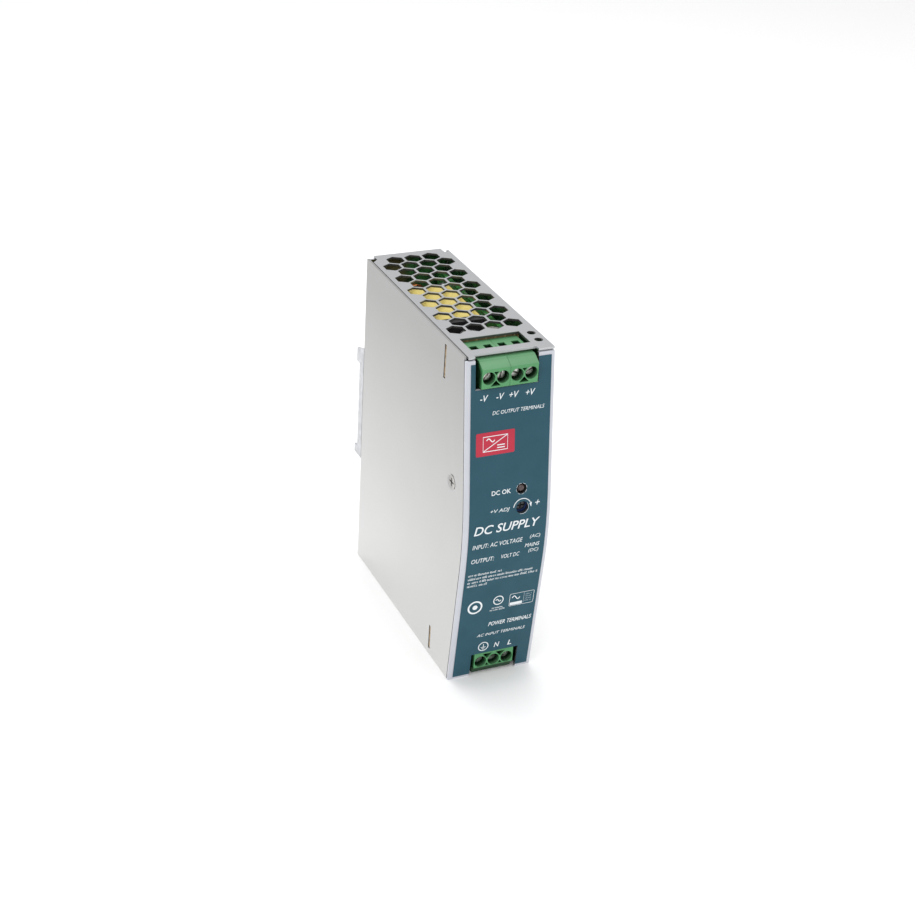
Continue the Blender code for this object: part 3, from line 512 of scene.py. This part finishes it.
def soften(names, width, segments=2):
    """Small rounded edges on a piece of the frame, with shading that follows its large faces."""
    for name in names:
        target = NODES[name]
        weld = target.modifiers.new("weld", "WELD")
        weld.merge_threshold = WELD_GAP
        bevel = target.modifiers.new("rounded_edges", "BEVEL")
        bevel.width = width * MM
        bevel.segments = segments
        bevel.limit_method = "ANGLE"
        bevel.angle_limit = radians(SHARP_EDGE)
        normals = target.modifiers.new("even_shading", "WEIGHTED_NORMAL")
        normals.keep_sharp = False


# ================================================================ stage, light and camera
def make_camera():
    data = bpy.data.cameras.new("view_camera")
    data.lens = FOCAL
    data.sensor_width = SENSOR
    data.clip_start = 0.01
    camera = bpy.data.objects.new("view_camera", data)
    turn = (Matrix.Rotation(-radians(AZIMUTH), 4, "Z") @ Matrix.Rotation(radians(90 - ELEVATION), 4, "X")
            @ Matrix.Rotation(radians(ROLL), 4, "Z"))
    camera.matrix_world = Matrix.Translation(CAMERA_AT) @ turn
    bpy.context.collection.objects.link(camera)
    bpy.context.scene.camera = camera
    bpy.context.scene.view_settings.view_transform = "Standard"


def area_light(name, at, aim, size, power):
    data = bpy.data.lights.new(name, "AREA")
    data.shape = "RECTANGLE"
    data.size, data.size_y = size
    data.energy = power
    made = bpy.data.objects.new(name, data)
    made.location = at
    made.rotation_euler = (Vector(aim) - Vector(at)).to_track_quat("-Z", "Y").to_euler()
    bpy.context.collection.objects.link(made)


def make_stage():
    bm = bmesh.new()
    bmesh.ops.create_grid(bm, x_segments=2, y_segments=2, size=FLOOR_HALF)
    mesh = bpy.data.meshes.new("floor")
    bm.to_mesh(mesh)
    bm.free()
    floor = bpy.data.objects.new("floor", mesh)
    bpy.context.collection.objects.link(floor)
    made = Mat("floor_white", FLOOR_TONE, 0.7)
    mesh.materials.append(made.mat)
    world = bpy.data.worlds.new("studio")
    world.use_nodes = True
    shade = world.node_tree.nodes["Background"]
    shade.inputs["Color"].default_value = (1.0, 1.0, 1.0, 1.0)
    shade.inputs["Strength"].default_value = WORLD_LIGHT
    bpy.context.scene.world = world
    area_light("key", (-0.5, -0.6, 1.0), (0, 0, 0.06), (0.7, 0.7), KEY_LIGHT)
    area_light("fill", (0.7, -0.7, 0.5), (0, 0, 0.06), (0.6, 0.6), FILL_LIGHT)
    area_light("top", (0.0, 0.25, 1.1), (0, 0, 0.12), (0.6, 0.6), TOP_LIGHT)


# ================================================================ printed front
def front_y(z):
    """Depth of the label's outer face at a height, both in millimetres."""
    ahead = z - NOSE_Z
    curved = min(max(ahead, -NOSE_R * sin(LEAN_LOW)), NOSE_R * sin(LEAN_HIGH))
    lean = LEAN_LOW if ahead < 0 else LEAN_HIGH
    return FRONT_Y + NOSE_R - sqrt(NOSE_R ** 2 - curved ** 2) + abs(ahead - curved) * tan(lean)


class Print:
    """Ink of one colour on the label, laid out flat as (x, z) shapes in millimetres."""

    def __init__(self, name, ink):
        self.name = name
        self.ink = ink
        self.bm = bmesh.new()

    def shape(self, points):
        self.bm.faces.new([self.bm.verts.new((x, z, 0.0)) for x, z in points])

    def band(self, line, width, closed=False):
        """A stroke of even width along a line of points."""
        count = len(line)
        sides = []
        for i, (x, z) in enumerate(line):
            before = line[i - 1] if i or closed else line[i]
            after = line[(i + 1) % count] if i < count - 1 or closed else line[i]
            way = Vector((after[0] - before[0], after[1] - before[1])).normalized() * width / 2
            left = self.bm.verts.new((x - way.y, z + way.x, 0))
            right = self.bm.verts.new((x + way.y, z - way.x, 0))
            sides.append([left, right])
        for i in range(count if closed else count - 1):
            a, b = sides[i], sides[(i + 1) % count]
            self.bm.faces.new((a[0], a[1], b[1], b[0]))

    def box(self, x_low, z_low, x_high, z_high):
        self.shape([(x_low, z_low), (x_high, z_low), (x_high, z_high), (x_low, z_high)])

    def text(self, words, x_low, z_low, x_high, height, slant=0.25, bold=0.0):
        """Words fitted to a width and a height, standing on z_low."""
        curve = bpy.data.curves.new("words", "FONT")
        curve.body = words
        curve.shear = slant
        curve.offset = bold
        curve.resolution_u = 3
        made = bpy.data.objects.new("words", curve)
        bpy.context.collection.objects.link(made)
        bpy.context.view_layer.update()
        ready = made.evaluated_get(bpy.context.evaluated_depsgraph_get())
        flat = bmesh.new()
        flat.from_mesh(ready.to_mesh())
        ready.to_mesh_clear()
        bpy.data.objects.remove(made)
        xs = [v.co.x for v in flat.verts]
        ys = [v.co.y for v in flat.verts]
        left, foot = min(xs), min(ys)
        wide = (x_high - x_low) / (max(xs) - left)
        tall = height / (max(ys) - foot)
        copies = {v: self.bm.verts.new((x_low + (v.co.x - left) * wide, z_low + (v.co.y - foot) * tall, 0))
                  for v in flat.verts}
        for face in flat.faces:
            self.bm.faces.new([copies[v] for v in face.verts])
        flat.free()

    def greeked(self, x_low, x_high, z_low, height, draw):
        """A row of small marks in word-like groups: it stands for text and says nothing."""
        x = x_low
        letter = height * 0.56
        while x < x_high:
            for _ in range(draw.randint(2, 8)):
                if x > x_high:
                    break
                mark = draw.choice(MARKS)
                tall = height * draw.choice((0.72, 0.72, 1.0))
                for left, low, right, high in mark:
                    self.box(x + left * letter, z_low + low * tall, x + right * letter, z_low + high * tall)
                x += letter * (0.55 if len(mark) == 1 else 1.32)
            x += letter * 0.8

    def finish(self, proud=0.0):
        """Raises the flat shapes to thin closed solids that follow the bent front."""
        bmesh.ops.remove_doubles(self.bm, verts=self.bm.verts, dist=0.0005)
        bmesh.ops.recalc_face_normals(self.bm, faces=self.bm.faces)
        grown = bmesh.ops.extrude_face_region(self.bm, geom=list(self.bm.faces), use_keep_orig=True)
        raised = {item for item in grown["geom"] if isinstance(item, bmesh.types.BMVert)}
        for v in self.bm.verts:
            y = front_y(v.co.y) + (-INK - proud if v in raised else INK_SUNK)
            v.co = Vector((v.co.x, max(y, FRONT_Y), v.co.y)) * MM
        bmesh.ops.recalc_face_normals(self.bm, faces=self.bm.faces)
        mesh_piece(self.name, self.bm, self.ink, "case")


def mesh_piece(name, bm, look, body, smooth=None):
    """An object that rides on a body, made from a finished bmesh in metres."""
    mesh = bpy.data.meshes.new(name)
    bm.to_mesh(mesh)
    bm.free()
    mesh.materials.append(look)
    if smooth is not None:
        mesh.shade_smooth()
        mesh.set_sharp_from_angle(angle=radians(smooth))
    made = bpy.data.objects.new(name, mesh)
    bpy.context.collection.objects.link(made)
    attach(made, body)
    return made


def arc(x, z, radius, start, end, steps=20):
    return [(x + radius * cos(radians(start + (end - start) * i / steps)),
             z + radius * sin(radians(start + (end - start) * i / steps))) for i in range(steps + 1)]


def rounded(x_low, z_low, x_high, z_high, radius):
    corners = ((x_high - radius, z_low + radius, -90), (x_high - radius, z_high - radius, 0),
               (x_low + radius, z_high - radius, 90), (x_low + radius, z_low + radius, 180))
    return [point for x, z, turn in corners for point in arc(x, z, radius, turn, turn + 90, 5)]


def wave_line(x_low, x_high, z, swing):
    return [(x_low + (x_high - x_low) * i / 16, z + swing * sin(2 * pi * i / 16)) for i in range(17)]


def make_print():
    """All print of the label: words, rows of marks, icons and the red patch with its sign."""
    draw = Random(4)
    ink = moulded("ink_white", WHITE_INK, 0.45, 0.94, 1.04).mat
    red_ink = moulded("ink_red", RED_INK, 0.5, 0.92, 1.08).mat
    pale = moulded("ink_grey", GREY_INK, 0.45).mat

    white = Print("label_print_white", ink)
    for x, words in POLES:
        wide = 2.9 if words[0] == "-" else 3.5
        white.text(words, x, 109.7, x + wide, 2.15, 0.3, 0.008)
    for row in WORDS:
        white.text(*row)
    for z, x_high in SMALL_ROWS:
        white.greeked(-13.0, x_high, z, 0.85, draw)
    # arrow over the trimmer
    white.band(arc(*TRIMMER_AT, 3.3, 172, 24), 0.27)
    head = [(3.3, -4), (3.85, 24), (2.85, 22)]
    x, z = TRIMMER_AT
    white.shape([(x + r * cos(radians(turn)), z + r * sin(radians(turn))) for r, turn in head])
    # thin light rims of the two holes, broken where the film was punched
    for start in range(0, 360, 45):
        white.band(arc(*LAMP_AT, 1.98, start, start + 30, 4), 0.08)
    white.band(arc(*TRIMMER_AT, 2.33, -110, 40, 12), 0.09)
    # earth symbol in its ring
    white.band(arc(*EARTH_AT, 1.85, 0, 345, 23), 0.34, True)
    white.box(-3.72, 12.4, -3.48, 13.7)
    for half, z in ((0.95, 12.25), (0.62, 11.8), (0.3, 11.35)):
        white.box(EARTH_AT[0] - half, z - 0.1, EARTH_AT[0] + half, z + 0.1)
    # plain icons: a filled dot in a ring, a wave in a ring, a wave over bars in a frame
    white.band(arc(*DOT_AT, 2.5, 0, 345, 23), 0.62, True)
    white.shape(arc(*DOT_AT, 0.95, 0, 345, 23))
    white.band(arc(*WAVE_AT, 1.8, 0, 345, 23), 0.36, True)
    white.band(wave_line(-1.1, 0.9, 32.6, 0.5), 0.3)
    white.greeked(-2.3, 1.9, 29.2, 0.6, draw)
    white.greeked(-2.9, 2.4, 28.3, 0.6, draw)
    white.band(rounded(4.3, 28.9, 13.6, 34.2, 0.4), 0.13, True)
    white.band(wave_line(5.2, 8.2, 32.4, 0.75), 0.34)
    white.box(4.6, 29.2, 9.3, 30.4)
    white.finish()

    grey = Print("label_print_grey", pale)
    grey.box(9.7, 29.3, 9.85, 33.9)
    for row in range(4):
        grey.greeked(10.3, 12.6, 30.0 + row * 0.95, 0.5, draw)
    grey.finish()

    red = Print("label_patch", red_ink)
    red.shape(rounded(-12.2, 90.6, 1.9, 98.8, 0.5))
    red.finish()

    # the usual sign of a converter, alternating current in and direct current out
    sign = Print("label_patch_sign", ink)
    sign.band([(-9.6, 92.1), (-0.7, 92.1), (-0.7, 97.3), (-9.6, 97.3)], 0.28, True)
    sign.band([(-9.5, 92.2), (-0.8, 97.2)], 0.26)
    sign.band(wave_line(-8.4, -5.4, 95.9, 0.6), 0.34)
    for z in (93.0, 93.9):
        sign.box(-4.5, z - 0.17, -1.7, z + 0.17)
    sign.finish(proud=0.02)


# ================================================================ finer pieces
def tube(bm, line, radius, sides=8, closed=False):
    """A round tube along a line of points in millimetres, with flat ends or joined in a ring."""
    count = len(line)
    points = [Vector(p) for p in line]
    rings = []
    up = None
    for i, at in enumerate(points):
        before = points[i - 1] if i or closed else at
        after = points[(i + 1) % count] if i < count - 1 or closed else at
        way = (after - before).normalized()
        if up is None:
            up = way.orthogonal()
        up = (up - way * up.dot(way)).normalized()
        across = way.cross(up)
        turns = [2 * pi * j / sides for j in range(sides)]
        rings.append([bm.verts.new(at + radius * (up * cos(turn) + across * sin(turn))) for turn in turns])
    for i in range(count if closed else count - 1):
        lower, upper = rings[i], rings[(i + 1) % count]
        for j in range(sides):
            k = (j + 1) % sides
            bm.faces.new((lower[j], lower[k], upper[k], upper[j]))
    if not closed:
        bm.faces.new(rings[0])
        bm.faces.new(rings[-1])


def finish_mesh(name, bm, look, body, smooth=35.0):
    bmesh.ops.recalc_face_normals(bm, faces=bm.faces)
    bmesh.ops.scale(bm, vec=(MM, MM, MM), verts=bm.verts)
    return mesh_piece(name, bm, look, body, smooth)


def make_spring():
    """Compression spring of the latch, with one closed turn at each end."""
    low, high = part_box("latch_spring")
    per_turn = 24
    middle = (low.y + high.y) / 2 / MM
    foot, head = low.z / MM + SPRING_WIRE, high.z / MM - SPRING_WIRE
    line = []
    for i in range(SPRING_TURNS * per_turn + 1):
        turned = i / per_turn
        eased = min(max((turned - 1) / (SPRING_TURNS - 2), 0.0), 1.0)
        end_turns = 0.5 * (min(turned, 1.0) + max(turned - SPRING_TURNS + 1, 0.0))
        z = foot + (head - foot - 1.0) * eased + end_turns
        angle = 2 * pi * i / per_turn
        line.append((SPRING_RADIUS * cos(angle), middle + SPRING_RADIUS * sin(angle), z))
    bm = bmesh.new()
    tube(bm, line, SPRING_WIRE)
    made = finish_mesh("spring_wire", bm, plated("spring_wire_steel", (0.55, 0.55, 0.56), 0.28).mat, "case")
    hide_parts("latch_spring")
    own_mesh(made)


def make_choke(node, axis, turns):
    """Toroid choke: a coated ring core and its enamelled winding, one wire laid round it."""
    low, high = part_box(node)
    centre = (low + high) / 2 / MM
    half = (high - low) / 2 / MM
    flat = [i for i in range(3) if i != axis]
    ring = half[flat[0]] - CHOKE_TUBE

    def point(angle, turn, swell):
        out = ring + swell * cos(turn)
        place = [0.0, 0.0, 0.0]
        place[flat[0]] = centre[flat[0]] + out * cos(angle)
        place[flat[1]] = centre[flat[1]] + out * sin(angle)
        place[axis] = centre[axis] + 1.2 * swell * sin(turn)
        return place

    bm = bmesh.new()
    per_turn = 16
    line = [point(2 * pi * i / per_turn / turns, 2 * pi * i / per_turn, CHOKE_TUBE - CHOKE_WIRE)
            for i in range(turns * per_turn)]
    tube(bm, line, CHOKE_WIRE, 6, True)
    coil = finish_mesh(node + "_wire", bm, ENAMEL.mat, "case", 60.0)
    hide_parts(node)
    bm = bmesh.new()
    around, sides = 36, 12
    core = CHOKE_TUBE - 2 * CHOKE_WIRE - 0.05
    rows = [[bm.verts.new(point(2 * pi * i / around, 2 * pi * j / sides, core)) for j in range(sides)]
            for i in range(around)]
    for i in range(around):
        for j in range(sides):
            k, m = (i + 1) % around, (j + 1) % sides
            bm.faces.new((rows[i][j], rows[k][j], rows[k][m], rows[i][m]))
    ring_core = finish_mesh(node + "_core", bm, CORE_COAT.mat, "case", 60.0)


def rounded_block(bm, x, y, z, edge):
    """A small block with chamfered edges between limits in millimetres."""
    made = bmesh.ops.create_cube(bm, size=1.0)
    for v in made["verts"]:
        v.co = Vector([limits[0] if value < 0 else limits[1] for limits, value in zip((x, y, z), v.co)])
    edges = list({e for v in made["verts"] for e in v.link_edges})
    bmesh.ops.bevel(bm, geom=edges, offset=edge, segments=1, affect="EDGES")


def make_board_parts():
    """Small surface-mounted parts on the inner face of the main board, by rows."""
    draw = Random(11)
    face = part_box("main_board")[0].x / MM
    bodies, ends = bmesh.new(), bmesh.new()
    for row in range(CHIP_ROWS):
        for column in range(CHIP_COLUMNS):
            y, z = -24.0 + column * 4.9, 95.5 + row * 5.3
            if draw.random() < 0.25 or abs(y - 34.0) < 4.5:
                continue
            long, wide = draw.choice(CHIP_SIZES)
            across = (z - wide, z + wide)
            rounded_block(bodies, (face - 0.62, face - 0.02), (y - long, y + long), across, 0.06)
            for side in (-1, 1):
                reach = sorted((y + side * (long + 0.03), y + side * (long + 0.38)))
                rounded_block(ends, (face - 0.58, face - 0.02), reach, across, 0.05)
    finish_mesh("chip_bodies", bodies, PACKAGE.mat, "case")
    tinned = plated("solder_tin", (0.68, 0.67, 0.64), 0.32)
    finish_mesh("chip_ends", ends, tinned.mat, "case")


def named(*starts):
    """Pieces of the frame whose names start with one of the given words."""
    return [n for n in NODES if n.startswith(starts)]


make_camera()
make_stage()
make_print()

give(["chassis"], case_metal())
give(["side_cover"], cover_metal())
give(["front_panel"], panel_paint())
label = moulded("label_film", LABEL_TONE, 0.5, 0.9, 1.35)
label.set("Specular IOR Level", 0.25)
give(["front_label"], label)
give(named("output_block"), terminal_plastic("terminal_green_out", OUTPUT_FACE, OUTPUT_SLANT))
give(["input_block"], terminal_plastic("terminal_green_in", INPUT_FACE))
give(named("terminal_screw"), plated("terminal_zinc", (0.66, 0.65, 0.62), 0.26, 0.6))
give(named("wire_clamp"), plated("clamp_brass", (0.36, 0.27, 0.12), 0.35))
give(named("cover_screw"), plated("screw_steel", (0.55, 0.54, 0.52), 0.26, 0.55))
fastener = plated("fastener_steel", (0.56, 0.56, 0.57), 0.30)
give(named("board_standoff", "board_screw", "bracket_rivet"), fastener)
give(["din_bracket"], plated("bracket_zinc", (0.60, 0.61, 0.63), 0.34, 0.88))
give(["din_latch"], plated("latch_zinc", (0.50, 0.50, 0.48), 0.32, 0.85))
give(["latch_spring"], plated("spring_steel", (0.5, 0.5, 0.5), 0.3))
give(["transformer_winding"], tape())
give(["transformer_core"], moulded("ferrite", (0.022, 0.021, 0.022), 0.62, 0.7, 1.8))
give(["main_board"], board("board_green", BOARD_TONE, 1, 2))
give(["control_board"], board("control_green", CONTROL_TONE, 0, 2))
give(["output_board", "input_board"], board("board_brown", PHENOLIC_TONE, 0, 2))
give(["insulation_sheet"], moulded("insulation_film", (0.020, 0.070, 0.026), 0.3, 0.4, 1.6))
give(["output_choke", "line_choke"], ENAMEL)
give(["bulk_capacitor"], sleeve("sleeve_bulk", 1, (-1.4, 0.0, 45.5), 11.0, -5.0, -1))
for number, x in ((1, 5.7), (2, -3.1)):
    give(["output_capacitor_%d" % number], sleeve("sleeve_%d" % number, 2, (x, -19.5, 0.0), 4.1, 121.5, 1))
give(["x_capacitor"], moulded("capacitor_yellow", (0.55, 0.36, 0.04), 0.4))
give(["bridge_rectifier", "switch_transistor", "output_rectifier", "optocoupler"], PACKAGE)
heatsink = sheet_metal("heatsink_alloy", (0.30, 0.30, 0.30), 0.4, 0.9, (1, 8, 1))
give(["primary_heatsink", "output_heatsink"], heatsink)
give(["fuse"], ceramic_fuse())
give(["thermistor"], moulded("disc_green", (0.02, 0.075, 0.045), 0.35))
give(["status_lamp"], moulded("lamp_lens", (0.070, 0.048, 0.048), 0.16, 0.8, 1.2))
give(["trimmer_body"], moulded("trimmer_blue", (0.020, 0.045, 0.16), 0.38))
give(["trimmer_rotor"], moulded("trimmer_rotor_dark", (0.055, 0.058, 0.065), 0.32, 0.8))
soften(["chassis", "side_cover", "front_panel"], 0.12)
soften(named("output_block", "input_block"), 0.12)
soften(named("wire_clamp", "din_bracket", "din_latch"), 0.15)
soften(["transformer_winding"], 0.9, 3)
soften(["transformer_core", "x_capacitor"], 0.45)
soften(["bridge_rectifier", "switch_transistor", "output_rectifier", "optocoupler", "trimmer_body"], 0.25)
make_spring()
for choke, count in CHOKE_TURNS.items():
    make_choke(choke, 0, count)
make_board_parts()
